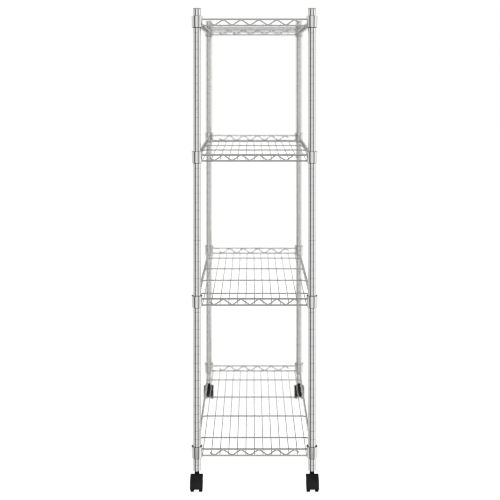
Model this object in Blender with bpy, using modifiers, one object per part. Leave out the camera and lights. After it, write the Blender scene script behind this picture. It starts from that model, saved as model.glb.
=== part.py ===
"""Four-tier chrome wire shelving rack on four twin-wheel casters.

Frame: metres, +Z up, the floor at z = 0, +X along the short side, +Y along the
long side; front is -Y and left is -X.  The origin is the centre of the footprint
on the floor.  The casters trail towards -Y, so the posts stand a little towards
+Y of the origin.

How it comes apart: four posts, each of two tubes joined by a stud, with a cap on
top and a threaded insert at the bottom; four welded wire shelves, each hanging
by its four corner collars on four split sleeves clipped round the posts; four
swivel casters, each a stem, a hood, an axle and two wheels.
"""

import math

import bmesh
import bpy
from mathutils import Matrix, Vector

MM = 0.001
GAP = 0.3 * MM  # clearance between separate pieces
PIN_SIDES = 12  # studs, inserts, stems, axles and the holes for them

# ---------------------------------------------------------------- post sizes
POST_SPACING_X = 327.3 * MM  # centre to centre, short side
POST_SPACING_Y = 727.0 * MM  # centre to centre, long side
POST_R = 11.2 * MM
POST_BORE_R = 10.0 * MM
POST_SIDES = 16
POST_BOTTOM_Z = 52.4 * MM
POST_SPLIT_Z = 707.0 * MM  # where the two tubes of a post meet
TOP_Z = 1367.5 * MM  # top of the caps
PLUG_R = 9.6 * MM  # studs, plugs and inserts inside the tubes
CAP_R = 11.4 * MM
CAP_FLANGE = 2.5 * MM
CAP_BEVEL = 0.8 * MM
CAP_PLUG_LENGTH = 15.0 * MM
STUD_LENGTH = 60.0 * MM
INSERT_LENGTH = 22.0 * MM
INSERT_PLAY = 0.4 * MM  # round the caster's stem

# ---------------------------------------------------------------- shelf sizes
SHELF_TOP_ROD_Z = {
    "top": 1335.3 * MM,
    "upper": 950.2 * MM,
    "lower": 539.5 * MM,
    "bottom": 111.5 * MM,
}
TRUSS_HEIGHT = 18.0 * MM  # between the centres of the two edge rods
ROD_R = 2.1 * MM
ROD_END = 14.4 * MM  # rods stop inside the collar's wall
WIRE_FACET = 1.15  # a four-sided wire of this many radii is as thick as a round one
ZIGZAG_R = 1.7 * MM
ZIGZAG_PITCH = 50.85 * MM
ZIGZAG_BITE = 0.2 * MM  # how far a bend stays short of a rod's centre
END_PERIODS = 5
SIDE_PERIODS = 13
DECK_WIRE_R = 1.2 * MM
DECK_WIRES = 13
DECK_PITCH = 24.6 * MM
DECK_RISE = 2.9 * MM  # deck wires over the lower rods
DECK_OVERHANG = 0.9 * MM  # past the end rods' centres
CROSS_WIRE_R = 1.8 * MM
CROSS_RISE = 5.5 * MM  # cross wires over the lower rods
CROSS_END_RISE = 3.4 * MM  # the same at their lowered ends
CROSS_END_DIP = 11.0 * MM  # from a side rod to where the end starts to dip
CROSS_OVERHANG = 0.4 * MM  # past the side rods' centres
CROSS_PLACES = (0.155, 0.386, 0.614, 0.845)  # share of the length

COLLAR_R = 15.8 * MM  # at its top; it narrows downwards
COLLAR_LOW_R = 15.1 * MM
COLLAR_BORE_R = 13.9 * MM
COLLAR_ABOVE = 9.5 * MM  # above the upper rod
COLLAR_BELOW = 4.7 * MM  # below the lower rod
COLLAR_SIDES = 16
SLEEVE_R = 13.0 * MM
SLEEVE_SIDES = 12
SLEEVE_SLOT = math.radians(24.0)
SLEEVE_INSET = 0.6 * MM  # below the collar's upper rim
SLEEVE_BELOW = 1.5 * MM  # out of the collar's lower rim

# ---------------------------------------------------------------- caster sizes
WHEEL_R = 22.0 * MM
WHEEL_INNER_X = 7.5 * MM
WHEEL_RIM_X = 16.7 * MM  # outer face near the rim
WHEEL_OUTER_X = 17.0 * MM  # outer face at the centre
WHEEL_FACE_SHARE = 0.95  # outer face's share of the wheel's radius
WHEEL_BEVEL = 0.9 * MM  # width of the bevel between outer face and tread
WHEEL_SIDES = 16
AXLE_R = 2.5 * MM
AXLE_HALF = 14.4 * MM
AXLE_WHEEL_PLAY = 0.3 * MM  # round the axle in a wheel
AXLE_END_PLAY = 0.6 * MM  # past the axle's end in a wheel
AXLE_HOOD_PLAY = 0.5 * MM  # round the axle in the hood
CASTER_TRAIL = 16.6 * MM  # stem axis to axle
AXLE_CENTRE = (0.0, -CASTER_TRAIL, WHEEL_R)  # from the swivel axis at the floor

HOOD_HALF_X = 17.4 * MM
HOOD_R = 24.9 * MM
HOOD_WELL_R = 22.9 * MM
HOOD_SIDES = 24
HOOD_BOTTOM_Z = 14.2 * MM
FENDER_LOW_Z = 31.0 * MM  # lower edge of the fender on the stem side
WEB_HALF_X = 6.7 * MM  # wall between the two wheel wells
FENDER_CUT_OFFSET = 0.1 * MM  # keeps the fender's cut off the face of the web
BOSS_R = 6.2 * MM
BOSS_SIDES = 16
BOSS_TOP_Z = 50.6 * MM

STEM_R = 3.9 * MM
STEM_BORE_R = 4.5 * MM
STEM_FLANGE_R = 5.6 * MM
STEM_TOP_Z = 70.0 * MM
STEM_HEAD_R = 5.0 * MM
STEM_HEAD_BORE_R = 5.7 * MM
HEAD_RECESS = 10.0 * MM  # depth of the wider bore for the stem's head
HEAD_INSET = 1.5 * MM  # head above the hood's bottom
HEAD_PLAY = 0.5 * MM  # over the head

# Cutters for the hood run well past it, to these distances.
CUT_REACH = 40 * MM  # towards -X, +X and +Y
CUT_REACH_FRONT = 60 * MM  # towards -Y
FENDER_CUT_LOW = -5 * MM
BOTTOM_CUT_LOW = -10 * MM
AXLE_CUT_LENGTH = 60 * MM
STEM_CUT_TOP = 100 * MM

# ---------------------------------------------------------------- post places
# The casters reach further towards -Y than the collars reach towards +Y.
POST_SHIFT_Y = ((CASTER_TRAIL + HOOD_R) - COLLAR_R) / 2

CORNERS = {
    f"{row}_{column}": (
        side_x * POST_SPACING_X / 2,
        POST_SHIFT_Y + side_y * POST_SPACING_Y / 2,
    )
    for row, side_y in (("front", -1), ("rear", 1))
    for column, side_x in (("left", -1), ("right", 1))
}


# ---------------------------------------------------------------- scene helpers
def clear_scene():
    for obj in list(bpy.data.objects):
        bpy.data.objects.remove(obj, do_unlink=True)


def collection(name):
    made = bpy.data.collections.new(name)
    bpy.context.scene.collection.children.link(made)
    return made


def material(name, colour, metallic, roughness):
    made = bpy.data.materials.new(name)
    made.use_nodes = True
    shader = made.node_tree.nodes["Principled BSDF"]
    shader.inputs["Base Color"].default_value = (*colour, 1.0)
    shader.inputs["Metallic"].default_value = metallic
    shader.inputs["Roughness"].default_value = roughness
    made.diffuse_color = (*colour, 1.0)
    return made


def linked(name, data, folder):
    obj = bpy.data.objects.new(name, data)
    folder.objects.link(obj)
    return obj


def place(name, mesh, folder, finish, location=(0, 0, 0), turn=0.0, parent=None):
    """One named object for a piece; pieces of one shape share a mesh."""
    obj = linked(name, mesh, folder)
    obj.location = location
    obj.rotation_euler = (0.0, 0.0, turn)
    obj.parent = parent
    if not mesh.materials:
        mesh.materials.append(finish)


def helper(obj):
    obj.hide_render = True
    obj.display_type = "WIRE"
    return obj


# ---------------------------------------------------------------- mesh helpers
def evaluated_mesh(obj, name):
    """The object's shape with its modifiers applied, as a mesh of its own."""
    bpy.context.view_layer.update()
    graph = bpy.context.evaluated_depsgraph_get()
    mesh = bpy.data.meshes.new_from_object(obj.evaluated_get(graph), depsgraph=graph)
    mesh.name = name
    bm = bmesh.new()
    bm.from_mesh(mesh)
    bmesh.ops.remove_doubles(bm, verts=bm.verts, dist=1e-6)
    bm.to_mesh(mesh)
    bm.free()
    mesh.materials.clear()  # place() fills the only slot
    return mesh


def smooth(mesh, angle=40.0):
    """Smooth shading, with edges sharper than the angle in degrees left sharp."""
    mesh.shade_smooth()
    mesh.set_sharp_from_angle(angle=math.radians(angle))
    return mesh


def corner_radius(flat_radius, sides):
    """Corner radius of a polygon whose flats lie at flat_radius."""
    return flat_radius / math.cos(math.pi / sides)


def poly_spline(curve, points):
    spline = curve.splines.new("POLY")
    spline.points.add(len(points) - 1)
    for target, point in zip(spline.points, points):
        target.co = (*point, 1.0)
    return spline


def curve_mesh(name, curve, folder):
    """The curve's shape as a mesh; the curve itself is removed."""
    guide = linked(name + "_curve", curve, folder)
    mesh = evaluated_mesh(guide, name)
    bpy.data.objects.remove(guide, do_unlink=True)
    bpy.data.curves.remove(curve)
    return mesh


def wire(name, points, radius, folder):
    """A four-sided wire through the points, as a helper with a closed mesh."""
    curve = bpy.data.curves.new(name, "CURVE")
    curve.dimensions = "3D"
    curve.twist_mode = "Z_UP"
    curve.bevel_depth = radius * WIRE_FACET
    curve.bevel_resolution = 0
    curve.use_fill_caps = True
    poly_spline(curve, points)
    mesh = curve_mesh(name, curve, folder)
    return helper(linked(name, mesh, folder))


def turned(name, profile, sides, folder):
    """A turned solid about Z from (radius, height) pairs, which run down the
    outer side.  A profile that starts and ends on the axis is solid; any other
    is joined into a ring."""
    mesh = bpy.data.meshes.new(name + "_profile")
    bm = bmesh.new()
    corners = [bm.verts.new((radius, 0.0, z)) for radius, z in profile]
    for first, second in zip(corners, corners[1:]):
        bm.edges.new((first, second))
    if profile[0][0] > 0.0:
        bm.edges.new((corners[-1], corners[0]))
    bm.to_mesh(mesh)
    bm.free()
    guide = linked(name + "_turned", mesh, folder)
    screw = guide.modifiers.new("turn", "SCREW")
    screw.axis = "Z"
    screw.steps = sides
    screw.render_steps = sides
    screw.use_merge_vertices = True
    screw.merge_threshold = 1e-5
    screw.use_smooth_shade = False
    made = evaluated_mesh(guide, name)
    bpy.data.objects.remove(guide, do_unlink=True)
    bpy.data.meshes.remove(mesh)
    return made


def pipe(name, bore, radius, length, sides, folder):
    """A straight pipe standing on z = 0; the flats of its bore lie at bore."""
    inner = corner_radius(bore, sides)
    profile = [(inner, length), (radius, length), (radius, 0.0), (inner, 0.0)]
    return smooth(turned(name, profile, sides, folder))


def cylinder(radius, depth, sides, axis="Z", centre=(0, 0, 0)):
    mesh = bpy.data.meshes.new("cylinder")
    bm = bmesh.new()
    bmesh.ops.create_cone(
        bm,
        cap_ends=True,
        segments=sides,
        radius1=radius,
        radius2=radius,
        depth=depth,
    )
    if axis == "X":
        bmesh.ops.rotate(bm, verts=bm.verts, matrix=Matrix.Rotation(math.pi / 2, 3, "Y"))
    bmesh.ops.translate(bm, verts=bm.verts, vec=Vector(centre))
    bm.to_mesh(mesh)
    bm.free()
    return mesh


def block(low, high):
    """A box between two opposite corners."""
    low, high = Vector(low), Vector(high)
    mesh = bpy.data.meshes.new("block")
    bm = bmesh.new()
    bmesh.ops.create_cube(bm, size=1.0)
    bmesh.ops.scale(bm, verts=bm.verts, vec=high - low)
    bmesh.ops.translate(bm, verts=bm.verts, vec=(low + high) / 2)
    bm.to_mesh(mesh)
    bm.free()
    return mesh


def combined(name, base, steps, folder):
    """base with each (operation, mesh) of steps applied, as one mesh."""
    work = helper(linked(name + "_work", base, folder))
    tools = []
    for number, (operation, mesh) in enumerate(steps):
        tool = helper(linked(f"{name}_tool_{number}", mesh, folder))
        tools.append(tool)
        modifier = work.modifiers.new(f"step_{number}", "BOOLEAN")
        modifier.operation = operation
        modifier.solver = "EXACT"
        modifier.object = tool
    made = evaluated_mesh(work, name)
    for obj in [work, *tools]:
        bpy.data.objects.remove(obj, do_unlink=True)
    return made


def welded(name, pieces, folder):
    """The union of all the pieces, which are removed."""
    base, *others = pieces
    joined = bpy.data.collections.new("welded")
    folder.children.link(joined)
    for piece in others:
        folder.objects.unlink(piece)
        joined.objects.link(piece)
    modifier = base.modifiers.new("weld", "BOOLEAN")
    modifier.operation = "UNION"
    modifier.solver = "EXACT"
    modifier.operand_type = "COLLECTION"
    modifier.collection = joined
    mesh = evaluated_mesh(base, name)
    for piece in pieces:
        bpy.data.objects.remove(piece, do_unlink=True)
    bpy.data.collections.remove(joined)
    return mesh


# ---------------------------------------------------------------- posts
def stud_mesh(folder):
    """Stud joining the two tubes, centred on the joint."""
    half = STUD_LENGTH / 2
    profile = [(0.0, half), (PLUG_R, half), (PLUG_R, -half), (0.0, -half)]
    return smooth(turned("post_stud", profile, PIN_SIDES, folder))


def cap_mesh(folder):
    """Cap with its plug; z = 0 at its top."""
    plug_bottom = -CAP_FLANGE - CAP_PLUG_LENGTH
    profile = [
        (0.0, 0.0),
        (CAP_R - CAP_BEVEL, 0.0),
        (CAP_R, -CAP_BEVEL),
        (CAP_R, -CAP_FLANGE),
        (PLUG_R, -CAP_FLANGE),
        (PLUG_R, plug_bottom),
        (0.0, plug_bottom),
    ]
    return smooth(turned("post_cap", profile, POST_SIDES, folder))


def build_posts(rack, workshop, finishes):
    tube_top = TOP_Z - CAP_FLANGE - GAP
    upper_bottom = POST_SPLIT_Z + GAP / 2
    lower_length = POST_SPLIT_Z - GAP / 2 - POST_BOTTOM_Z
    upper_length = tube_top - POST_SPLIT_Z - GAP / 2

    def tube(name, length):
        return pipe(name, POST_BORE_R, POST_R, length, POST_SIDES, workshop)

    insert = pipe(
        "post_insert", STEM_R + INSERT_PLAY, PLUG_R, INSERT_LENGTH, PIN_SIDES, workshop
    )
    # Name, mesh, material and height of each piece of a post.
    parts = (
        ("post_lower", tube("post_lower", lower_length), "chrome", POST_BOTTOM_Z),
        ("post_upper", tube("post_upper", upper_length), "chrome", upper_bottom),
        ("post_stud", stud_mesh(workshop), "zinc", POST_SPLIT_Z),
        ("post_cap", cap_mesh(workshop), "cap", TOP_Z),
        ("post_insert", insert, "zinc", POST_BOTTOM_Z),
    )
    for corner, (x, y) in CORNERS.items():
        for name, mesh, finish, z in parts:
            place(f"{name}_{corner}", mesh, rack, finishes[finish], (x, y, z))


# ---------------------------------------------------------------- shelves
def zigzag_points(periods, make):
    """Bends of the truss wire along one side: it starts and ends at half height,
    and goes down first.  make(along, height) gives a point."""
    low, high = ZIGZAG_BITE, TRUSS_HEIGHT - ZIGZAG_BITE
    start = -periods * ZIGZAG_PITCH / 2
    points = [make(start, TRUSS_HEIGHT / 2)]
    for period in range(periods):
        along = start + period * ZIGZAG_PITCH
        points.append(make(along + ZIGZAG_PITCH / 4, low))
        points.append(make(along + 3 * ZIGZAG_PITCH / 4, high))
    points.append(make(start + periods * ZIGZAG_PITCH, TRUSS_HEIGHT / 2))
    return points


def truss_wires(side, half_x, half_y, folder):
    """Rods and zigzags of one end (along X) and one side (along Y)."""

    def on_end(along, z):
        return (along, side * half_y, z)

    def on_side(along, z):
        return (side * half_x, along, z)

    reach_x, reach_y = half_x - ROD_END, half_y - ROD_END
    pieces = []
    for z in (0.0, TRUSS_HEIGHT):
        end_points = [on_end(-reach_x, z), on_end(reach_x, z)]
        side_points = [on_side(-reach_y, z), on_side(reach_y, z)]
        pieces.append(wire("end_rod", end_points, ROD_R, folder))
        pieces.append(wire("side_rod", side_points, ROD_R, folder))
    end_bends = zigzag_points(END_PERIODS, on_end)
    side_bends = zigzag_points(SIDE_PERIODS, on_side)
    pieces.append(wire("end_zigzag", end_bends, ZIGZAG_R, folder))
    pieces.append(wire("side_zigzag", side_bends, ZIGZAG_R, folder))
    return pieces


def deck_wires(half_y, folder):
    """The thin wires along Y."""
    reach = half_y + DECK_OVERHANG
    pieces = []
    for number in range(DECK_WIRES):
        x = (number - (DECK_WIRES - 1) / 2) * DECK_PITCH
        points = [(x, -reach, DECK_RISE), (x, reach, DECK_RISE)]
        pieces.append(wire("deck_wire", points, DECK_WIRE_R, folder))
    return pieces


def cross_wires(half_x, folder):
    """The wires along X over the deck wires, with lowered ends."""
    reach, bend = half_x + CROSS_OVERHANG, half_x - CROSS_END_DIP
    pieces = []
    for share in CROSS_PLACES:
        y = (share - 0.5) * POST_SPACING_Y
        points = [
            (-reach, y, CROSS_END_RISE),
            (-bend, y, CROSS_RISE),
            (bend, y, CROSS_RISE),
            (reach, y, CROSS_END_RISE),
        ]
        pieces.append(wire("cross_wire", points, CROSS_WIRE_R, folder))
    return pieces


def collars(half_x, half_y, folder):
    """The tapered rings at the four corners."""
    top, bottom = TRUSS_HEIGHT + COLLAR_ABOVE, -COLLAR_BELOW
    profile = [
        (COLLAR_BORE_R, top),
        (COLLAR_R, top),
        (COLLAR_LOW_R, bottom),
        (COLLAR_BORE_R, bottom),
    ]
    collar = turned("collar", profile, COLLAR_SIDES, folder)
    pieces = []
    for side_x in (-1, 1):
        for side_y in (-1, 1):
            ring = helper(linked("collar_ring", collar, folder))
            ring.location = (side_x * half_x, side_y * half_y, 0)
            pieces.append(ring)
    return pieces


def shelf_mesh(folder):
    """The welded shelf: z = 0 at the lower rods' centres, centred on the posts."""
    half_x, half_y = POST_SPACING_X / 2, POST_SPACING_Y / 2
    pieces = [
        *truss_wires(-1, half_x, half_y, folder),
        *truss_wires(1, half_x, half_y, folder),
        *deck_wires(half_y, folder),
        *cross_wires(half_x, folder),
        *collars(half_x, half_y, folder),
    ]
    return smooth(welded("wire_shelf", pieces, folder), 50.0)


def sleeve_mesh(folder):
    """Split sleeve round a post: an open ring, its slot towards +X, z = 0 at the
    lower rods' centres like the shelf."""
    inner = corner_radius(POST_R + GAP, SLEEVE_SIDES)
    angles = [
        SLEEVE_SLOT / 2 + (2 * math.pi - SLEEVE_SLOT) * number / SLEEVE_SIDES
        for number in range(SLEEVE_SIDES + 1)
    ]
    # Out round the outer side and back round the inner side.
    outline = [
        (radius * math.cos(angle), radius * math.sin(angle), 0.0)
        for radius, path in ((SLEEVE_R, angles), (inner, angles[::-1]))
        for angle in path
    ]
    low = -COLLAR_BELOW - SLEEVE_BELOW
    high = TRUSS_HEIGHT + COLLAR_ABOVE - SLEEVE_INSET
    curve = bpy.data.curves.new("sleeve", "CURVE")
    curve.dimensions = "2D"
    curve.fill_mode = "BOTH"
    curve.extrude = (high - low) / 2
    poly_spline(curve, outline).use_cyclic_u = True
    mesh = curve_mesh("sleeve", curve, folder)
    mesh.transform(Matrix.Translation((0, 0, (high + low) / 2)))
    return smooth(mesh)


def build_shelves(rack, workshop, finishes):
    shelf = shelf_mesh(workshop)
    sleeve = sleeve_mesh(workshop)
    for level, top_rod in SHELF_TOP_ROD_Z.items():
        z = top_rod - TRUSS_HEIGHT
        place(f"shelf_{level}", shelf, rack, finishes["chrome"], (0.0, POST_SHIFT_Y, z))
        for corner, (x, y) in CORNERS.items():
            # Each sleeve's slot faces along the shelf's short side, inwards.
            turn = 0.0 if x < 0 else math.pi
            name = f"sleeve_{level}_{corner}"
            place(name, sleeve, rack, finishes["sleeve"], (x, y, z), turn)


# ---------------------------------------------------------------- casters
def hood_mesh(folder):
    """Hood of a caster: origin on the swivel axis at the floor, wheels to -Y."""
    width = 2 * HOOD_HALF_X
    drum = cylinder(HOOD_R, width, HOOD_SIDES, "X", AXLE_CENTRE)
    boss_centre = (0, 0, (BOSS_TOP_Z + HOOD_BOTTOM_Z) / 2)
    boss = cylinder(BOSS_R, BOSS_TOP_Z - HOOD_BOTTOM_Z, BOSS_SIDES, "Z", boss_centre)
    cuts = []
    for side in (-1, 1):
        well_centre = (side * (WEB_HALF_X + width / 2), *AXLE_CENTRE[1:])
        cuts.append(cylinder(HOOD_WELL_R, width, HOOD_SIDES, "X", well_centre))
        # The fender stops above the wheels on the stem side.
        left, right = sorted((side * (WEB_HALF_X + FENDER_CUT_OFFSET), side * CUT_REACH))
        cuts.append(
            block(
                (left, -CASTER_TRAIL, FENDER_CUT_LOW),
                (right, CUT_REACH, FENDER_LOW_Z),
            )
        )
    bottom = block(
        (-CUT_REACH, -CUT_REACH_FRONT, BOTTOM_CUT_LOW),
        (CUT_REACH, CUT_REACH, HOOD_BOTTOM_Z),
    )
    axle_hole = cylinder(
        AXLE_R + AXLE_HOOD_PLAY, AXLE_CUT_LENGTH, PIN_SIDES, "X", AXLE_CENTRE
    )
    stem_bore = cylinder(
        STEM_BORE_R, STEM_CUT_TOP, PIN_SIDES, "Z", (0, 0, STEM_CUT_TOP / 2)
    )
    head_recess = cylinder(
        STEM_HEAD_BORE_R, 2 * HEAD_RECESS, PIN_SIDES, "Z", (0, 0, HOOD_BOTTOM_Z)
    )
    cuts += [bottom, axle_hole, stem_bore, head_recess]
    steps = [("UNION", boss), *(("DIFFERENCE", cut) for cut in cuts)]
    return smooth(combined("hood", drum, steps, folder))


def stem_mesh(folder):
    """Stem with a flange under the post and a head inside the hood; z = 0 at the
    floor."""
    head_low = HOOD_BOTTOM_Z + HEAD_INSET
    head_top = HOOD_BOTTOM_Z + HEAD_RECESS - HEAD_PLAY
    flange_low, flange_top = BOSS_TOP_Z + GAP, POST_BOTTOM_Z - GAP
    profile = [
        (0.0, STEM_TOP_Z),
        (STEM_R, STEM_TOP_Z),
        (STEM_R, flange_top),
        (STEM_FLANGE_R, flange_top),
        (STEM_FLANGE_R, flange_low),
        (STEM_R, flange_low),
        (STEM_R, head_top),
        (STEM_HEAD_R, head_top),
        (STEM_HEAD_R, head_low),
        (0.0, head_low),
    ]
    return smooth(turned("stem", profile, PIN_SIDES, folder))


def wheel_meshes(folder):
    """The left (-X) and right (+X) wheels, each about the axle's centre."""
    bore = corner_radius(AXLE_R + AXLE_WHEEL_PLAY, WHEEL_SIDES)
    bore_end = AXLE_HALF + AXLE_END_PLAY
    rim = corner_radius(WHEEL_R, WHEEL_SIDES)
    profile = [
        (0.0, WHEEL_OUTER_X),
        (rim * WHEEL_FACE_SHARE, WHEEL_RIM_X),
        (rim, WHEEL_RIM_X - WHEEL_BEVEL),
        (rim, WHEEL_INNER_X),
        (bore, WHEEL_INNER_X),
        (bore, bore_end),
        (0.0, bore_end),
    ]
    right = turned("wheel_right", profile, WHEEL_SIDES, folder)
    # Half a side's turn puts a flat on the floor.
    right.transform(Matrix.Rotation(math.pi / WHEEL_SIDES, 4, "Z"))
    smooth(right)
    right.transform(Matrix.Rotation(math.pi / 2, 4, "Y"))
    left = right.copy()
    left.name = "wheel_left"
    left.transform(Matrix.Rotation(math.pi, 4, "Z"))
    return left, right


def build_casters(rack, workshop, finishes):
    hood = hood_mesh(workshop)
    stem = stem_mesh(workshop)
    axle = smooth(cylinder(AXLE_R, 2 * AXLE_HALF, PIN_SIDES, "X"))
    wheel_left, wheel_right = wheel_meshes(workshop)
    # Name, mesh, material and place of each piece that swivels.
    swivelling = (
        ("hood", hood, "hood", (0, 0, 0)),
        ("axle", axle, "zinc", AXLE_CENTRE),
        ("wheel_left", wheel_left, "wheel", AXLE_CENTRE),
        ("wheel_right", wheel_right, "wheel", AXLE_CENTRE),
    )
    for corner, (x, y) in CORNERS.items():
        caster = f"caster_{corner}"
        pivot = linked(f"{caster}_pivot", None, rack)
        pivot.location = (x, y, 0.0)
        place(f"{caster}_stem", stem, rack, finishes["zinc"], (x, y, 0.0))
        for name, mesh, finish, centre in swivelling:
            place(f"{caster}_{name}", mesh, rack, finishes[finish], centre, parent=pivot)


# ---------------------------------------------------------------- rack
def make_finishes():
    return {
        "chrome": material(
            "chrome", colour=(0.80, 0.80, 0.79), metallic=1.0, roughness=0.14
        ),
        "zinc": material(
            "zinc_plated_steel", colour=(0.62, 0.62, 0.60), metallic=1.0, roughness=0.35
        ),
        "cap": material(
            "cap_plastic", colour=(0.55, 0.55, 0.54), metallic=0.6, roughness=0.3
        ),
        "sleeve": material(
            "sleeve_plastic", colour=(0.03, 0.03, 0.03), metallic=0.0, roughness=0.45
        ),
        "hood": material(
            "hood_plastic", colour=(0.022, 0.022, 0.023), metallic=0.0, roughness=0.35
        ),
        "wheel": material(
            "wheel_plastic", colour=(0.012, 0.012, 0.012), metallic=0.0, roughness=0.5
        ),
    }


def build():
    clear_scene()
    rack = collection("wire_shelving_rack")
    workshop = collection("cutters")
    finishes = make_finishes()
    build_posts(rack, workshop, finishes)
    build_shelves(rack, workshop, finishes)
    build_casters(rack, workshop, finishes)


build()
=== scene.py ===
"""Four-tier chrome wire rack on twin-wheel casters: final meshes, finishes and studio.

Every piece is placed from the boxes of the CAD nodes it stands for and rides on
their bodies. Lengths are metres, +Z is up, the long side of the rack runs along Y.
"""

import math

import bmesh
import bpy
import numpy as np
from mathutils import Matrix, Vector


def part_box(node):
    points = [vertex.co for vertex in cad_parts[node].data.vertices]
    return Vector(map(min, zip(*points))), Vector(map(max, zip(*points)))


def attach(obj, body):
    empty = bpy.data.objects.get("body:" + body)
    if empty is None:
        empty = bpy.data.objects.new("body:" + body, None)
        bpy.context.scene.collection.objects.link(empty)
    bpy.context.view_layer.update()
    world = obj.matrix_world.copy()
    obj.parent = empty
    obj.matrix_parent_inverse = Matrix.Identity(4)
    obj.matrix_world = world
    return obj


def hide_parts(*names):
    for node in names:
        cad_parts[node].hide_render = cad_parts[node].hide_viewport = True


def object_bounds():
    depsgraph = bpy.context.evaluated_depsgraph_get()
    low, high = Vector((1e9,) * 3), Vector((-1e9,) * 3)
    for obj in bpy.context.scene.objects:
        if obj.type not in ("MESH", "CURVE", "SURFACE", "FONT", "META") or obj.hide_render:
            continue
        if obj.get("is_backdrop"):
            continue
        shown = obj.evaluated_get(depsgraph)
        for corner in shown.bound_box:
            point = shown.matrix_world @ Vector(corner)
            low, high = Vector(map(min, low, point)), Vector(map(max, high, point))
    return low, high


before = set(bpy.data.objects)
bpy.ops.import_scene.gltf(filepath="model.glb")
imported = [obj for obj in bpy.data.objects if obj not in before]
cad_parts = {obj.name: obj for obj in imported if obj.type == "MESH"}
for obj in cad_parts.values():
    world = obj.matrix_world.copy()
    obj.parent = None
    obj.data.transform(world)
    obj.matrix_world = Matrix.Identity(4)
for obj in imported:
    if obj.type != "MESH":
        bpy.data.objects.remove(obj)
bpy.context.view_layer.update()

MM = 0.001
CORNERS = ("front_left", "front_right", "rear_left", "rear_right")
LEVELS = ("top", "upper", "lower", "bottom")


# ================================================================= mesh code
class Shape:
    """Points, faces and one normal per face corner, gathered before they become a mesh."""

    def __init__(self):
        self.points = []
        self.faces = []
        self.normals = []

    def add(self, points, faces, normals):
        base = len(self.points)
        self.points.extend(points)
        self.faces.extend([tuple(base + i for i in face) for face in faces])
        self.normals.extend(normals)

    def moved(self, matrix):
        made = Shape()
        turn = matrix.to_3x3()
        made.points = [matrix @ Vector(p) for p in self.points]
        made.faces = list(self.faces)
        made.normals = [turn @ Vector(n) for n in self.normals]
        return made

    def mesh(self, name):
        mesh = bpy.data.meshes.new(name)
        mesh.from_pydata([tuple(p) for p in self.points], [], self.faces)
        attribute = mesh.attributes.new("shading", "FLOAT_VECTOR", "CORNER")
        attribute.data.foreach_set(
            "vector", np.array([tuple(n) for n in self.normals], np.float32).ravel()
        )
        return mesh


def settle_normals(mesh):
    """Turns the stored corner normals into the mesh's own, and drops the attribute."""
    count = len(mesh.loops)
    stored = np.zeros(count * 3, np.float32)
    mesh.attributes["shading"].data.foreach_get("vector", stored)
    stored = stored.reshape(-1, 3)
    mesh.attributes.remove(mesh.attributes["shading"])
    face_normal = np.zeros(len(mesh.polygons) * 3, np.float32)
    mesh.polygons.foreach_get("normal", face_normal)
    face_normal = face_normal.reshape(-1, 3)
    totals = np.zeros(len(mesh.polygons), np.int32)
    mesh.polygons.foreach_get("loop_total", totals)
    per_corner = np.repeat(face_normal, totals, axis=0)
    length = np.linalg.norm(stored, axis=1)
    weak = (length < 0.2) | ((stored * per_corner).sum(1) < 0.1 * np.maximum(length, 1e-9))
    stored = np.where(weak[:, None], per_corner, stored / np.maximum(length, 1e-9)[:, None])
    mesh.polygons.foreach_set("use_smooth", np.ones(len(mesh.polygons), bool))
    mesh.normals_split_custom_set(stored.tolist())
    mesh.update()
    return mesh


def lathe(profile, sides, phase=0.0, loop=False, crease=50.0):
    """A turned shape about Z from (radius, height) pairs that run down the outer side.
    A loop profile closes on itself, as for a tube or a ring."""
    shape = Shape()
    pairs = list(zip(profile, profile[1:] + profile[:1])) if loop else list(zip(profile, profile[1:]))
    directions = []
    for (r0, z0), (r1, z1) in pairs:
        length = math.hypot(r1 - r0, z1 - z0)
        directions.append(((z0 - z1) / length, (r1 - r0) / length, length))

    def corner_normal(here, other):
        nx, nz, length = directions[here]
        if other is None:
            return nx, nz
        ox, oz, other_length = directions[other]
        if nx * ox + nz * oz < math.cos(math.radians(crease)):
            return nx, nz
        sx, sz = nx * length + ox * other_length, nz * length + oz * other_length
        size = math.hypot(sx, sz) or 1.0
        return sx / size, sz / size

    turns = [
        (math.cos(phase + 2 * math.pi * j / sides), math.sin(phase + 2 * math.pi * j / sides))
        for j in range(sides)
    ]
    index = {}
    for k, (r, z) in enumerate(profile):
        if r < 1e-9:
            index[k] = [len(shape.points)] * sides
            shape.points.append((0.0, 0.0, z))
        else:
            index[k] = list(range(len(shape.points), len(shape.points) + sides))
            shape.points.extend((r * c, r * s, z) for c, s in turns)
    count = len(pairs)
    for k in range(count):
        before = (k - 1) % count if loop or k > 0 else None
        after = (k + 1) % count if loop or k < count - 1 else None
        top, low = corner_normal(k, before), corner_normal(k, after)
        first, second = index[k], index[(k + 1) % len(profile)]
        for j in range(sides):
            n = (j + 1) % sides
            ring = [(first[j], top, j), (second[j], low, j), (second[n], low, n), (first[n], top, n)]
            if first[j] == first[n]:
                ring = ring[:3]
            if second[j] == second[n]:
                ring = [ring[0], ring[1], ring[3]]
            shape.faces.append(tuple(i for i, _, _ in ring))
            shape.normals.extend(
                (normal[0] * turns[t][0], normal[0] * turns[t][1], normal[1])
                for _, normal, t in ring
            )
    return shape


def arc(centre, radius, start, end, steps):
    """(radius, height) pairs on an arc of a lathe profile, angles in degrees."""
    return [
        (
            centre[0] + radius * math.cos(math.radians(start + (end - start) * i / steps)),
            centre[1] + radius * math.sin(math.radians(start + (end - start) * i / steps)),
        )
        for i in range(steps + 1)
    ]


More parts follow.
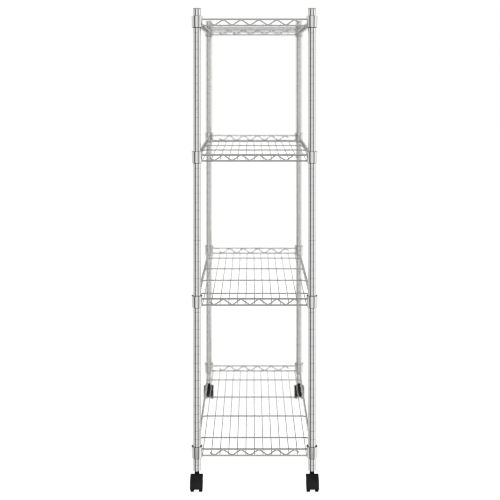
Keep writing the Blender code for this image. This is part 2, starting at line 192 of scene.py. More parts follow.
def rounded(points, radius, steps=5):
    """The path with each corner replaced by an arc."""
    points = [Vector(p) for p in points]
    path = [points[0]]
    for a, b, c in zip(points, points[1:], points[2:]):
        into, out = (b - a).normalized(), (c - b).normalized()
        turn = into.angle(out)
        if turn < 1e-4:
            path.append(b)
            continue
        back = min(radius * math.tan(turn / 2), 0.49 * (b - a).length, 0.49 * (c - b).length)
        bend = back / math.tan(turn / 2)
        centre = b + (out - into).normalized() * (bend / math.cos(turn / 2))
        first, last = b - into * back - centre, b + out * back - centre
        for i in range(steps + 1):
            share = i / steps
            path.append(centre + (first * math.sin((1 - share) * turn) + last * math.sin(share * turn)) / math.sin(turn))
    path.append(points[-1])
    return path


def wire(path, radius, sides=12, phase=0.5, cut=0.3):
    """A round wire along the path, with the slightly rounded ends of a sheared wire."""
    shape = Shape()
    path = [Vector(p) for p in path]
    tangents = []
    for i, p in enumerate(path):
        before = (p - path[i - 1]).normalized() if i else None
        after = (path[i + 1] - p).normalized() if i < len(path) - 1 else None
        tangents.append(((before or after) + (after or before)).normalized())
    side = tangents[0].orthogonal().normalized()
    if abs(tangents[0].z) < 0.9:
        side = tangents[0].cross(Vector((0, 0, 1))).normalized()
    rings = []  # centre, radius, tangent, side, tilt of the normal towards the tangent
    lip = radius * cut
    for i, (p, t) in enumerate(zip(path, tangents)):
        if i:
            side = (side - t * side.dot(t)).normalized()
        if i == 0:
            rings.append((p, radius - lip, t, side.copy(), -60.0))
            rings.append((p + t * lip * 0.3, radius - lip * 0.29, t, side.copy(), -45.0))
            rings.append((p + t * lip, radius, t, side.copy(), -8.0))
            rings.append((p + t * lip * 2, radius, t, side.copy(), 0.0))
        elif i == len(path) - 1:
            rings.append((p - t * lip * 2, radius, t, side.copy(), 0.0))
            rings.append((p - t * lip, radius, t, side.copy(), 8.0))
            rings.append((p - t * lip * 0.3, radius - lip * 0.29, t, side.copy(), 45.0))
            rings.append((p, radius - lip, t, side.copy(), 60.0))
        else:
            rings.append((p, radius, t, side.copy(), 0.0))
    normals = []
    for centre, r, t, u, tilt in rings:
        v = t.cross(u)
        lean = math.radians(tilt)
        for j in range(sides):
            a = 2 * math.pi * (j + phase) / sides
            out = u * math.cos(a) + v * math.sin(a)
            shape.points.append(centre + out * r)
            normals.append(out * math.cos(lean) + t * math.sin(lean))
    for i in range(len(rings) - 1):
        for j in range(sides):
            n = (j + 1) % sides
            face = (i * sides + j, i * sides + n, (i + 1) * sides + n, (i + 1) * sides + j)
            shape.faces.append(face)
            shape.normals.extend(normals[k] for k in face)
    last = (len(rings) - 1) * sides
    shape.faces.append(tuple(reversed(range(sides))))
    shape.normals.extend([-rings[0][2]] * sides)
    shape.faces.append(tuple(last + j for j in range(sides)))
    shape.normals.extend([rings[-1][2]] * sides)
    return shape


def bead(centre, radii, sides=10, rings=6):
    """A weld bead: a small closed ellipsoid."""
    profile = [(0.0, 1.0)]
    for i in range(1, rings):
        a = math.pi * i / rings
        profile.append((math.sin(a), math.cos(a)))
    profile.append((0.0, -1.0))
    shape = lathe(profile, sides, phase=0.31, crease=180)
    made = Shape()
    made.points = [Vector((p[0] * radii[0], p[1] * radii[1], p[2] * radii[2])) + Vector(centre) for p in shape.points]
    made.faces = shape.faces
    made.normals = [
        Vector((n[0] / radii[0], n[1] / radii[1], n[2] / radii[2])).normalized() for n in shape.normals
    ]
    return made


def welded(name, shapes):
    """All the shapes as one closed body: what crosses is united, nothing is left inside."""
    folder = bpy.data.collections.new(name + "_parts")
    bpy.context.scene.collection.children.link(folder)
    made = []
    for number, shape in enumerate(shapes):
        obj = bpy.data.objects.new(f"{name}_{number}", shape.mesh(f"{name}_{number}"))
        (folder if number else bpy.context.scene.collection).objects.link(obj)
        made.append(obj)
    modifier = made[0].modifiers.new("weld", "BOOLEAN")
    modifier.operation = "UNION"
    modifier.solver = "MANIFOLD"
    modifier.operand_type = "COLLECTION"
    modifier.collection = folder
    bpy.context.view_layer.update()
    graph = bpy.context.evaluated_depsgraph_get()
    mesh = bpy.data.meshes.new_from_object(made[0].evaluated_get(graph), depsgraph=graph)
    mesh.name = name
    for obj in made:
        data = obj.data
        bpy.data.objects.remove(obj, do_unlink=True)
        bpy.data.meshes.remove(data)
    bpy.data.collections.remove(folder)
    mesh.materials.clear()
    return settle_normals(mesh)


def finished(name, shape):
    return settle_normals(shape.mesh(name))


def put(name, mesh, finish, location, body, slot, *nodes, turn=None):
    """One named piece: placed, riding on its body and standing for its CAD nodes."""
    obj = bpy.data.objects.new(name, mesh)
    bpy.context.scene.collection.objects.link(obj)
    obj.location = location
    if turn:
        obj.rotation_euler = turn
    if not mesh.materials:
        mesh.materials.append(finish)
    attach(obj, body)
    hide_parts(*nodes)
    return obj


# ================================================================= finishes
class Nodes:
    """A thin helper that adds nodes and links to a node tree."""

    def __init__(self, tree):
        self.tree = tree
        self.tree.nodes.clear()

    def new(self, kind, **values):
        node = self.tree.nodes.new(kind)
        for key, value in values.items():
            setattr(node, key, value)
        return node

    def put(self, node, **inputs):
        for key, value in inputs.items():
            socket = node.inputs[int(key[1:])] if key[0] == "i" and key[1:].isdigit() else node.inputs[key.replace("_", " ")]
            if isinstance(value, bpy.types.NodeSocket):
                self.tree.links.new(value, socket)
            else:
                socket.default_value = value
        return node

    def maths(self, operation, a, b=None, c=None, clamp=False):
        node = self.new("ShaderNodeMath", operation=operation, use_clamp=clamp)
        for number, value in enumerate((a, b, c)):
            if value is not None:
                self.put(node, **{f"i{number}": value})
        return node.outputs[0]

    def span(self, value, low, high, to_low, to_high, smooth=False):
        node = self.new("ShaderNodeMapRange", interpolation_type="SMOOTHSTEP" if smooth else "LINEAR")
        node.clamp = True
        self.put(node, i0=value, i1=low, i2=high, i3=to_low, i4=to_high)
        return node.outputs[0]

    def mix(self, share, a, b):
        node = self.new("ShaderNodeMix", data_type="RGBA")
        self.put(node, i0=share, i6=a, i7=b)
        return node.outputs[2]

    def noise(self, vector, scale, detail=2.0, roughness=0.5):
        node = self.new("ShaderNodeTexNoise")
        self.put(node, Vector=vector, Scale=scale, Detail=detail, Roughness=roughness)
        return node.outputs[0]

    def stretched(self, vector, scale):
        node = self.new("ShaderNodeVectorMath", operation="MULTIPLY")
        self.put(node, i0=vector, i1=scale)
        return node.outputs[0]


def rgba(r, g, b):
    return (r, g, b, 1.0)


def start_material(name, viewport):
    made = bpy.data.materials.new(name)
    made.use_nodes = True
    made.diffuse_color = rgba(*viewport)
    n = Nodes(made.node_tree)
    out = n.new("ShaderNodeOutputMaterial")
    shader = n.new("ShaderNodeBsdfPrincipled")
    n.tree.links.new(shader.outputs[0], out.inputs[0])
    place = n.new("ShaderNodeTexCoord").outputs["Object"]
    # Copies share one mesh, so each one shifts the pattern by its own random amount.
    own = n.new("ShaderNodeObjectInfo").outputs["Random"]
    shift = n.new("ShaderNodeCombineXYZ")
    n.put(shift, X=n.maths("MULTIPLY", own, 3.1), Y=n.maths("MULTIPLY", own, 7.7), Z=n.maths("MULTIPLY", own, 1.9))
    where = n.new("ShaderNodeVectorMath", operation="ADD")
    n.put(where, i0=place, i1=shift.outputs[0])
    return made, n, shader, where.outputs[0]


def bump(n, shader, height, distance, strength=1.0):
    node = n.new("ShaderNodeBump")
    n.put(node, Strength=strength, Distance=distance, Height=height)
    n.tree.links.new(node.outputs[0], shader.inputs["Normal"])


def chrome_material(name, streak):
    """Bright plating: a mirror over drawn steel. The drawing lines still show faintly
    through the plate, a thin film of dust and handling dulls it in patches, and edges
    are polished a little brighter."""
    made, n, shader, where = start_material(name, (0.80, 0.80, 0.79))
    cloud = n.noise(where, 38.0, 4.0, 0.55)
    grain = n.noise(where, 1500.0, 3.0, 0.6)
    lines = n.noise(n.stretched(where, streak), 1.0, 4.0, 0.65)
    edge = n.new("ShaderNodeNewGeometry").outputs["Pointiness"]
    polished = n.span(edge, 0.52, 0.60, 0.0, 1.0)
    film = n.span(cloud, 0.50, 0.78, 0.0, 1.0, smooth=True)
    tint = n.mix(film, rgba(0.905, 0.905, 0.895), rgba(0.845, 0.838, 0.815))
    tint = n.mix(n.maths("MULTIPLY", n.span(lines, 0.35, 0.7, 0.0, 1.0), 0.35), tint, rgba(0.82, 0.82, 0.805))
    tint = n.mix(n.maths("MULTIPLY", polished, 0.5), tint, rgba(0.94, 0.94, 0.935))
    rough = n.maths("ADD", n.span(film, 0.0, 1.0, 0.055, 0.115), n.span(lines, 0.3, 0.75, 0.0, 0.05))
    rough = n.maths("SUBTRACT", rough, n.maths("MULTIPLY", polished, 0.02))
    n.put(shader, **{"Base_Color": tint, "Metallic": 1.0, "Roughness": rough})
    height = n.maths("ADD", n.maths("MULTIPLY", lines, 0.7), n.maths("MULTIPLY", grain, 0.3))
    bump(n, shader, height, 0.000012, 0.6)
    return made


def zinc_material():
    """Zinc-plated steel of the stems, axles, studs and inserts: greyer, with a
    crystalline patchiness and a matt skin."""
    made, n, shader, where = start_material("zinc_plated_steel", (0.62, 0.62, 0.60))
    cells = n.new("ShaderNodeTexVoronoi", feature="F1")
    n.put(cells, Vector=where, Scale=620.0)
    cloud = n.noise(where, 160.0, 4.0, 0.6)
    tint = n.mix(n.span(cloud, 0.35, 0.7, 0.0, 1.0), rgba(0.63, 0.635, 0.62), rgba(0.50, 0.50, 0.485))
    tint = n.mix(n.span(cells.outputs[0], 0.0, 0.8, 0.25, 0.0), tint, rgba(0.72, 0.73, 0.74))
    n.put(shader, **{"Base_Color": tint, "Metallic": 1.0, "Roughness": n.span(cloud, 0.3, 0.7, 0.26, 0.42)})
    bump(n, shader, n.noise(where, 1800.0, 3.0, 0.6), 0.00002, 0.5)
    return made


def plastic_material(name, base, worn, roughness, specular, grain_scale, grain, seed=0.0, speck=None):
    """Moulded plastic: fine spark-eroded grain, slow colour drift, edges rubbed
    paler and smoother, and a little dust."""
    made, n, shader, where = start_material(name, base)
    drift = n.noise(where, 45.0 + seed, 3.0, 0.55)
    fine = n.noise(where, grain_scale, 2.0, 0.6)
    edge = n.new("ShaderNodeNewGeometry").outputs["Pointiness"]
    rubbed = n.maths("MULTIPLY", n.span(edge, 0.515, 0.60, 0.0, 1.0), n.span(drift, 0.35, 0.65, 0.35, 1.0))
    dark = tuple(c * 0.82 for c in base)
    light = tuple(min(1.0, c * 1.16) for c in base)
    tint = n.mix(n.span(drift, 0.3, 0.7, 0.0, 1.0), rgba(*dark), rgba(*light))
    if speck:
        tint = n.mix(n.span(n.noise(where, grain_scale * 0.45, 1.0, 0.5), 0.62, 0.74, 0.0, 0.55), tint, rgba(*speck))
    tint = n.mix(n.maths("MULTIPLY", rubbed, 0.6), tint, rgba(*worn))
    rough = n.maths("ADD", n.span(fine, 0.3, 0.7, roughness - 0.05, roughness + 0.06), n.maths("MULTIPLY", rubbed, -0.08))
    n.put(shader, **{"Base_Color": tint, "Roughness": rough, "Specular_IOR_Level": specular})
    bump(n, shader, fine, grain, 0.55)
    return made


CHROME_POST = chrome_material("bright_chrome_tube", (900.0, 900.0, 14.0))
CHROME_WIRE = chrome_material("bright_chrome_wire", (420.0, 420.0, 420.0))
ZINC = zinc_material()
CAP_GREY = plastic_material("grey_cap_plastic", (0.395, 0.395, 0.39), (0.47, 0.47, 0.465), 0.42, 0.35, 1400.0, 0.00003, 3.0, (0.33, 0.33, 0.33))
SLEEVE_BLACK = plastic_material("black_sleeve_plastic", (0.018, 0.018, 0.018), (0.05, 0.05, 0.05), 0.50, 0.30, 1500.0, 0.00002, 7.0)
HOOD_BLACK = plastic_material("black_hood_plastic", (0.0145, 0.0145, 0.0147), (0.034, 0.034, 0.034), 0.52, 0.13, 1300.0, 0.00005, 11.0)
WHEEL_BLACK = plastic_material("black_wheel_plastic", (0.0030, 0.0030, 0.0030), (0.014, 0.014, 0.014), 0.55, 0.09, 1100.0, 0.00003, 17.0)


# ================================================================= where things are
def middle(node):
    low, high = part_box(node)
    return (low + high) / 2


AXIS = {corner: middle(f"post_lower_{corner}").to_2d() for corner in CORNERS}
HALF_X = (AXIS["front_right"].x - AXIS["front_left"].x) / 2
HALF_Y = (AXIS["rear_left"].y - AXIS["front_left"].y) / 2
CENTRE_Y = (AXIS["rear_left"].y + AXIS["front_left"].y) / 2
POST_LOW, POST_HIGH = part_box("post_lower_front_left")
POST_R = (POST_HIGH.x - POST_LOW.x) / 2


# ================================================================= posts
GROOVE_PITCH = 24.06 * MM
GROOVE_HALF = 0.85 * MM
GROOVE_DEEP = 0.20 * MM
TUBE_BORE = 10.0 * MM
TUBE_SIDES = 44


def tube_shape(length, z0, groove_at):
    """A grooved tube from z = 0 up to its length. z0 is its lower end in the rack, and
    the grooves fall on groove_at plus whole pitches."""
    lip = 0.35 * MM
    outer = [(TUBE_BORE + lip, length), (POST_R - lip, length)]
    outer += [(POST_R - lip * 0.3, length - lip * 0.3), (POST_R, length - lip)]
    first = math.floor((z0 + length - groove_at) / GROOVE_PITCH)
    number = first
    while True:
        at = groove_at + number * GROOVE_PITCH - z0
        number -= 1
        if at < 4 * MM:
            break
        if at > length - 4 * MM:
            continue
        for share, deep in ((1.0, 0.0), (0.72, 0.14), (0.42, 0.72), (0.15, 1.0), (-0.15, 1.0), (-0.42, 0.72), (-0.72, 0.14), (-1.0, 0.0)):
            outer.append((POST_R - GROOVE_DEEP * deep, at + GROOVE_HALF * share))
    outer += [(POST_R, lip), (POST_R - lip * 0.3, lip * 0.3), (POST_R - lip, 0.0)]
    inner = [(TUBE_BORE + lip, 0.0), (TUBE_BORE, lip), (TUBE_BORE, length - lip)]
    return lathe(outer + inner, TUBE_SIDES, loop=True)


GROOVE_AT = POST_HIGH.z + 12.5 * MM
for part in ("lower", "upper"):
    low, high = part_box(f"post_{part}_front_left")
    tube = finished(f"grooved_tube_{part}", tube_shape(high.z - low.z, low.z, GROOVE_AT))
    for corner in CORNERS:
        put(
            f"grooved_post_{part}_{corner}",
            tube,
            CHROME_POST,
            (*AXIS[corner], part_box(f"post_{part}_{corner}")[0].z),
            "posts",
            "chrome",
            f"post_{part}_{corner}",
        )

# ---------------------------------------------------------------- caps
low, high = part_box("post_cap_front_left")
cap_r, cap_tall = (high.x - low.x) / 2, high.z - low.z
flange = 2.5 * MM
plug_r = 9.6 * MM
cap = finished(
    "post_cap_turned",
    lathe(
        [(0.0, 0.0), (cap_r * 0.45, -0.03 * MM), (cap_r * 0.80, -0.10 * MM)]
        + arc((cap_r - 0.85 * MM, -1.0 * MM), 0.85 * MM, 80, 0, 5)
        + [(cap_r, -flange + 0.35 * MM), (cap_r - 0.3 * MM, -flange), (plug_r + 0.1 * MM, -flange)]
        + [(plug_r, -flange - 0.2 * MM)]
        + [
            (plug_r - deep * MM, -flange - at * MM)
            for at, deep in ((3.0, 0.0), (3.4, 0.5), (6.0, 0.1), (6.4, 0.0), (6.8, 0.5), (9.4, 0.1), (9.8, 0.0), (10.2, 0.5), (13.0, 0.3))
        ]
        + [(plug_r - 1.4 * MM, -cap_tall), (7.6 * MM, -cap_tall), (7.4 * MM, -cap_tall + 0.4 * MM), (7.2 * MM, -flange - 1.5 * MM), (0.0, -flange - 1.2 * MM)],
        48,
    ),
)
# ---------------------------------------------------------------- studs, inserts
low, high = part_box("post_stud_front_left")
stud_tall, stud_r = high.z - low.z, (high.x - low.x) / 2


def threaded(radius, core, top, bottom, pitch):
    """(radius, height) pairs of a thread's crests and roots from top down to bottom."""
    turns = max(1, int((top - bottom) / pitch))
    step = (top - bottom) / turns
    pairs = []
    for i in range(turns):
        z = top - i * step
        pairs += [(core, z), (core, z - step * 0.14), (radius, z - step * 0.44), (radius, z - step * 0.64)]
    pairs.append((core, bottom))
    return pairs


stud = finished(
    "post_stud_turned",
    lathe(
        [(0.0, stud_tall / 2), (stud_r - 2.0 * MM, stud_tall / 2)]
        + threaded(stud_r, stud_r - 0.9 * MM, stud_tall / 2 - 1.2 * MM, 3.0 * MM, 1.75 * MM)
        + [(stud_r - 0.15 * MM, 2.2 * MM), (stud_r - 0.15 * MM, -2.2 * MM)]
        + threaded(stud_r, stud_r - 0.9 * MM, -3.0 * MM, -stud_tall / 2 + 1.2 * MM, 1.75 * MM)
        + [(stud_r - 2.0 * MM, -stud_tall / 2), (0.0, -stud_tall / 2)],
        28,
        crease=25,
    ),
)
low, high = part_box("post_insert_front_left")
insert_tall, insert_r = high.z - low.z, (high.x - low.x) / 2
stem_r = 3.9 * MM
bore = stem_r + 0.4 * MM
insert = finished(
    "post_insert_turned",
    lathe(
        [(bore + 0.5 * MM, insert_tall), (insert_r - 1.0 * MM, insert_tall), (insert_r - 0.5 * MM, insert_tall - 0.6 * MM)]
        + [
            (insert_r - deep * MM, insert_tall - at * MM)
            for at, deep in ((3.0, 0.0), (3.3, 0.5), (6.6, 0.0), (6.9, 0.5), (10.2, 0.0), (10.5, 0.5), (13.8, 0.0), (14.1, 0.5), (17.4, 0.0))
        ]
        + [(insert_r, 0.5 * MM), (insert_r - 0.5 * MM, 0.0), (bore + 0.6 * MM, 0.0), (bore, 0.6 * MM), (bore, insert_tall - 0.5 * MM)],
        32,
        loop=True,
        crease=35,
    ),
)
for corner in CORNERS:
    x, y = AXIS[corner]
    put(f"end_cap_{corner}", cap, CAP_GREY, (x, y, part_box(f"post_cap_{corner}")[1].z), "posts", "cap_plastic", f"post_cap_{corner}")
    put(f"joining_stud_{corner}", stud, ZINC, (x, y, middle(f"post_stud_{corner}").z), "posts", "zinc_steel", f"post_stud_{corner}")
    put(f"stem_insert_{corner}", insert, ZINC, (x, y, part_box(f"post_insert_{corner}")[0].z), "posts", "zinc_steel", f"post_insert_{corner}")


# ================================================================= shelves
TRUSS = 18.0 * MM
ROD_R = 2.1 * MM
ZIGZAG_R = 1.7 * MM
ZIGZAG_PITCH = 50.85 * MM
DECK_R = 1.2 * MM
DECK_RISE = 2.9 * MM
DECK_PITCH = 24.6 * MM
CROSS_R = 1.8 * MM
CROSS_RISE = 5.5 * MM
CROSS_END_RISE = 3.4 * MM
CROSS_END_DIP = 11.0 * MM
CROSS_PLACES = (0.155, 0.386, 0.614, 0.845)
COLLAR_R = 15.8 * MM  # at the top, tapering to
COLLAR_LOW_R = 15.1 * MM
COLLAR_BORE = 13.9 * MM  # at the bottom: the bore narrows upwards, as the sleeve does
COLLAR_TOP_BORE = 12.8 * MM
COLLAR_ABOVE = 9.5 * MM
COLLAR_BELOW = 4.7 * MM
ROD_END = 14.4 * MM


def truss_path(periods, make):
    """The zigzag wire of one side: it starts at half height and goes down first."""
    start = -periods * ZIGZAG_PITCH / 2
    corners = [make(start, TRUSS / 2)]
    for period in range(periods):
        along = start + period * ZIGZAG_PITCH
        corners.append(make(along + ZIGZAG_PITCH / 4, 0.2 * MM))
        corners.append(make(along + 3 * ZIGZAG_PITCH / 4, TRUSS - 0.2 * MM))
    corners.append(make(start + periods * ZIGZAG_PITCH, TRUSS / 2))
    return rounded(corners, 8.0 * MM, 6)


def shelf_shapes():
    """z = 0 at the lower rods, centred between the posts."""
    shapes = []
    for side in (-1, 1):
        for level in (0.0, TRUSS):
            shapes.append(wire([(-HALF_X + ROD_END, side * HALF_Y, level), (HALF_X - ROD_END, side * HALF_Y, level)], ROD_R, 16))
            shapes.append(wire([(side * HALF_X, -HALF_Y + ROD_END, level), (side * HALF_X, HALF_Y - ROD_END, level)], ROD_R, 16))
        shapes.append(wire(truss_path(5, lambda a, z: (a, side * HALF_Y, z)), ZIGZAG_R, 12))
        shapes.append(wire(truss_path(13, lambda a, z: (side * HALF_X, a, z)), ZIGZAG_R, 12))
    deck_x = [(number - 6) * DECK_PITCH for number in range(13)]
    for x in deck_x:
        shapes.append(wire([(x, -HALF_Y - 0.9 * MM, DECK_RISE), (x, HALF_Y + 0.9 * MM, DECK_RISE)], DECK_R, 12))
        for side in (-1, 1):
            shapes.append(bead((x, side * HALF_Y, 2.0 * MM), (1.55 * MM, 1.7 * MM, 0.75 * MM), 8, 5))
    for share in CROSS_PLACES:
        y = (2 * share - 1) * HALF_Y
        path = [
            (-HALF_X - 0.4 * MM, y, CROSS_END_RISE),
            (-HALF_X + CROSS_END_DIP, y, CROSS_RISE),
            (HALF_X - CROSS_END_DIP, y, CROSS_RISE),
            (HALF_X + 0.4 * MM, y, CROSS_END_RISE),
        ]
        shapes.append(wire(rounded(path, 12 * MM, 3), CROSS_R, 14))
        for x in deck_x:
            shapes.append(bead((x, y, 4.0 * MM), (1.35 * MM, 1.9 * MM, 0.6 * MM), 8, 5))
        for side in (-1, 1):
            shapes.append(bead((side * HALF_X, y, 1.9 * MM), (1.9 * MM, 2.2 * MM, 0.9 * MM), 8, 5))
    rim = 0.35 * MM
    top, low = TRUSS + COLLAR_ABOVE, -COLLAR_BELOW
    collar = lathe(
        arc((COLLAR_TOP_BORE + rim, top - rim), rim, 180, 90, 4)
        + arc((COLLAR_R - rim, top - rim), rim, 90, 0, 4)
        + arc((COLLAR_LOW_R - rim, low + rim), rim, 0, -90, 4)
        + arc((COLLAR_BORE + rim, low + rim), rim, -90, -180, 4),
        56,
        loop=True,
    )
    for sx in (-1, 1):
        for sy in (-1, 1):
            shapes.append(collar.moved(Matrix.Translation((sx * HALF_X, sy * HALF_Y, 0))))
            for level in (0.0, TRUSS):
                # The rods are welded to the collar with a bead all round.
                wall = COLLAR_LOW_R + (COLLAR_R - COLLAR_LOW_R) * (level - low) / (top - low) - 0.1 * MM
                shapes.append(bead((sx * (HALF_X - wall), sy * HALF_Y, level), (1.4 * MM, 2.75 * MM, 2.75 * MM), 12, 7))
                shapes.append(bead((sx * HALF_X, sy * (HALF_Y - wall), level), (2.75 * MM, 1.4 * MM, 2.75 * MM), 12, 7))
    # The first shape is the base of the union.
    return shapes


shelf = welded("wire_shelf", shelf_shapes())

# ---------------------------------------------------------------- split sleeves
SLEEVE_R = 13.0 * MM
SLEEVE_TOP_R = 12.25 * MM
SLEEVE_SLOT = 24.0


def sleeve_mesh():
    """A split ring round the post with chamfered rims, thicker towards its foot."""
    inner = POST_R + 0.3 * MM
    low, high = -COLLAR_BELOW - 1.5 * MM, TRUSS + COLLAR_ABOVE - 0.6 * MM
    chamfer, slim = 0.35 * MM, 0.2 * MM
    section = [
        (inner + slim, high),
        (SLEEVE_TOP_R - slim, high),
        (SLEEVE_TOP_R, high - slim),
        (SLEEVE_R, low + chamfer),
        (SLEEVE_R - chamfer, low),
        (inner + chamfer, low),
        (inner, low + chamfer),
        (inner, high - slim),
    ]
    mesh = bpy.data.meshes.new("split_sleeve")
    bm = bmesh.new()
    steps = 44
    rings = []
    for i in range(steps + 1):
        a = math.radians(SLEEVE_SLOT / 2 + (360 - SLEEVE_SLOT) * i / steps)
        rings.append([bm.verts.new((r * math.cos(a), r * math.sin(a), z)) for r, z in section])
    count = len(section)
    for first, second in zip(rings, rings[1:]):
        for k in range(count):
            n = (k + 1) % count
            bm.faces.new((first[k], first[n], second[n], second[k]))
    bm.faces.new(list(reversed(rings[0])))
    bm.faces.new(rings[-1])
    bmesh.ops.recalc_face_normals(bm, faces=bm.faces)
    bm.to_mesh(mesh)
    bm.free()
    mesh.shade_smooth()
    mesh.set_sharp_from_angle(angle=math.radians(40))
    return mesh


sleeve = sleeve_mesh()
for level in LEVELS:
    body = f"{level}_shelf"
    z0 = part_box(f"shelf_{level}")[0].z + COLLAR_BELOW
    put(f"wire_shelf_{level}", shelf, CHROME_WIRE, (0.0, CENTRE_Y, z0), body, "chrome", f"shelf_{level}")
    for corner in CORNERS:
        x, y = AXIS[corner]
        turn = (0, 0, 0) if x < 0 else (0, 0, math.pi)
        put(f"split_sleeve_{level}_{corner}", sleeve, SLEEVE_BLACK, (x, y, z0), body, "sleeve_plastic", f"sleeve_{level}_{corner}", turn=turn)


# ================================================================= casters
AXLE_AT = middle("caster_front_left_axle") - Vector((*AXIS["front_left"], 0))
WHEEL_R = 22.0 * MM
HOOD_R = 24.9 * MM
HOOD_HALF_X = 17.4 * MM
HOOD_WELL_R = 22.9 * MM
WEB_HALF_X = 6.7 * MM
HOOD_BOTTOM_Z = 14.2 * MM
HOOD_BACK_Z = 31.0 * MM
BOSS_TOP_Z = 50.6 * MM
FLANGE_R = 5.6 * MM


def helper_object(name, mesh):
    obj = bpy.data.objects.new(name, mesh)
    bpy.context.scene.collection.objects.link(obj)
    return obj


def drum(radius, half, sides, edge=0.0):
    """A solid round about X through the axle, its rims rounded by edge."""
    if edge:
        profile = [(0.0, half)] + arc((radius - edge, half - edge), edge, 90, 0, 5) + arc((radius - edge, -half + edge), edge, 0, -90, 5) + [(0.0, -half)]
    else:
        profile = [(0.0, half), (radius, half), (radius, -half), (0.0, -half)]
    shape = lathe(profile, sides)
    return shape.moved(Matrix.Translation(AXLE_AT) @ Matrix.Rotation(math.pi / 2, 4, "Y"))


def upright(profile, sides=40):
    return lathe(profile, sides)


def box_shape(low, high):
    shape = Shape()
    corners = [(x, y, z) for z in (low[2], high[2]) for y in (low[1], high[1]) for x in (low[0], high[0])]
    faces = [(0, 2, 3, 1), (4, 5, 7, 6), (0, 1, 5, 4), (1, 3, 7, 5), (3, 2, 6, 7), (2, 0, 4, 6)]
    shape.add(corners, faces, [(0, 0, 1)] * 24)
    return shape


def hood_mesh():
    """The moulded hood: a drum over both wheels, hollowed by a well on each side of
    its centre web, with the boss that turns on the stem. Origin on the stem axis."""
    base = helper_object("hood_base", drum(HOOD_R, HOOD_HALF_X, 120, 1.2 * MM).mesh("hood_base"))
    tools = []

    def step(operation, shape):
        tool = helper_object("hood_tool", shape.mesh("hood_tool"))
        modifier = base.modifiers.new("step", "BOOLEAN")
        modifier.operation, modifier.solver, modifier.object = operation, "MANIFOLD", tool
        tools.append(tool)

    # The boss flares into the drum, and ends in a plain collar under the post.
    step(
        "UNION",
        upright(
            [(0.0, BOSS_TOP_Z), (5.6 * MM, BOSS_TOP_Z), (6.2 * MM, BOSS_TOP_Z - 0.6 * MM), (6.2 * MM, 48.2 * MM)]
            + [(6.7 * MM, 46.6 * MM), (6.7 * MM, 38.0 * MM), (6.2 * MM, 30.0 * MM), (6.2 * MM, HOOD_BOTTOM_Z), (0.0, HOOD_BOTTOM_Z)],
        ),
    )
    for side in (-1, 1):
        near, far = WEB_HALF_X, 40 * MM
        well = lathe([(0.0, far), (HOOD_WELL_R, far), (HOOD_WELL_R, near), (0.0, near)], 120)
        turn = Matrix.Rotation(math.pi / 2 * side, 4, "Y")
        step("DIFFERENCE", well.moved(Matrix.Translation(AXLE_AT) @ turn))
        a, b = sorted((side * (WEB_HALF_X + 0.1 * MM), side * 40 * MM))
        step("DIFFERENCE", box_shape((a, AXLE_AT.y, -5 * MM), (b, 40 * MM, HOOD_BACK_Z)))
    step("DIFFERENCE", box_shape((-40 * MM, -60 * MM, -10 * MM), (40 * MM, 40 * MM, HOOD_BOTTOM_Z)))
    step("DIFFERENCE", drum(3.0 * MM, 30 * MM, 32))
    step("DIFFERENCE", upright([(0.0, 90 * MM), (4.5 * MM, 90 * MM), (4.5 * MM, 0.0), (0.0, 0.0)]))
    step("DIFFERENCE", upright([(0.0, HOOD_BOTTOM_Z + 10 * MM), (5.7 * MM, HOOD_BOTTOM_Z + 10 * MM), (5.7 * MM, 0.0), (0.0, 0.0)]))
    # Every edge of a moulding is a little round.
    remesh = base.modifiers.new("skin", "REMESH")
    remesh.mode = "VOXEL"
    remesh.voxel_size = 0.36 * MM
    soften = base.modifiers.new("soften", "SMOOTH")
    soften.factor, soften.iterations = 0.5, 5
    thin = base.modifiers.new("thin", "DECIMATE")
    thin.ratio = 0.22
    bpy.context.view_layer.update()
    graph = bpy.context.evaluated_depsgraph_get()
    mesh = bpy.data.meshes.new_from_object(base.evaluated_get(graph), depsgraph=graph)
    mesh.name = "caster_hood_moulded"
    for obj in [base, *tools]:
        data = obj.data
        bpy.data.objects.remove(obj, do_unlink=True)
        bpy.data.meshes.remove(data)
    if "shading" in mesh.attributes:
        mesh.attributes.remove(mesh.attributes["shading"])
    mesh.materials.clear()
    mesh.shade_smooth()
    mesh.set_sharp_from_angle(angle=math.radians(50))
    return mesh


hood = hood_mesh()
low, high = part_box("caster_front_left_stem")
stem_low, stem_top = low.z, high.z
flange_low, flange_top = BOSS_TOP_Z + 0.3 * MM, POST_LOW.z - 0.3 * MM
head_top = HOOD_BOTTOM_Z + 9.5 * MM
stem = finished(
    "caster_stem_turned",
    lathe(
        [(0.0, stem_top), (stem_r - 1.1 * MM, stem_top)]
        + threaded(stem_r, stem_r - 0.55 * MM, stem_top - 0.8 * MM, flange_top + 1.2 * MM, 1.25 * MM)
        + [(stem_r - 0.5 * MM, flange_top), (FLANGE_R - 0.3 * MM, flange_top), (FLANGE_R, flange_top - 0.3 * MM), (FLANGE_R, flange_low + 0.3 * MM), (FLANGE_R - 0.3 * MM, flange_low), (stem_r, flange_low)]
        + [(stem_r, head_top + 0.2 * MM), (5.0 * MM - 0.4 * MM, head_top), (5.0 * MM, head_top - 0.4 * MM), (5.0 * MM, stem_low + 0.5 * MM), (4.5 * MM, stem_low), (0.0, stem_low)],
        36,
        crease=35,
    ),
)
low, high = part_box("caster_front_left_axle")
axle_half, axle_r = (high.x - low.x) / 2, (high.z - low.z) / 2
axle = finished(
    "caster_axle_turned",
    lathe(
        [(0.0, axle_half), (axle_r - 0.5 * MM, axle_half), (axle_r, axle_half - 0.5 * MM), (axle_r, -axle_half + 0.5 * MM), (axle_r - 0.5 * MM, -axle_half), (0.0, -axle_half)],
        32,
        crease=35,
    ).moved(Matrix.Rotation(math.pi / 2, 4, "Y")),
)


